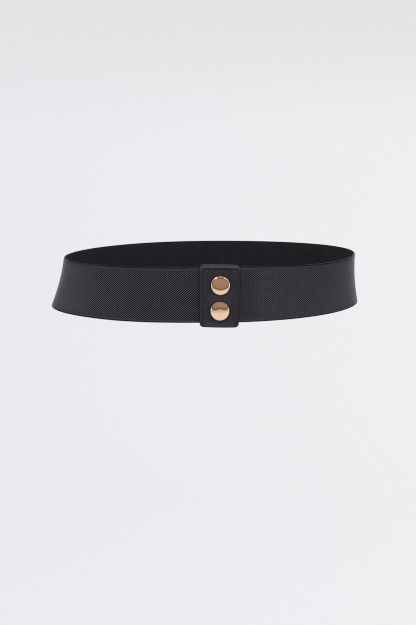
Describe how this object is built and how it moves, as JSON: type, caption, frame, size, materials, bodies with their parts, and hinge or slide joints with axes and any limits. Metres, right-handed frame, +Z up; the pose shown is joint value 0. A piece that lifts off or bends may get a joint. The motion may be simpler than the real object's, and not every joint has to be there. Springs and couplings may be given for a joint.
{
  "type": "elastic_stretch_belt",
  "caption": "Black elastic stretch belt, fastened round a waist, with overlapping leather tabs joined in front by round gold snaps",
  "frame": {"origin": "the centre of the waist opening at the mid height of the elastic, where the belt sits on the waist", "axes": "+Z up the wearer's waist, -Y to the front where the tabs are, +X to the right of someone looking at the tabs, along the waist's width"},
  "size_m": [0.2457, 0.2016, 0.046],
  "materials": {
    "elastic": "matte ribbed weave",
    "leather": "smooth, faint sheen",
    "snap_metal": "polished pale gold"
  },
  "bodies": {
    "root": {"elastic_band": "elastic", "under_tab": "leather", "top_tab": "leather", "snap_cap_upper": "snap_metal", "snap_cap_lower": "snap_metal", "snap_stud_upper": "snap_metal", "snap_stud_lower": "snap_metal"}
  },
  "joints": []
}
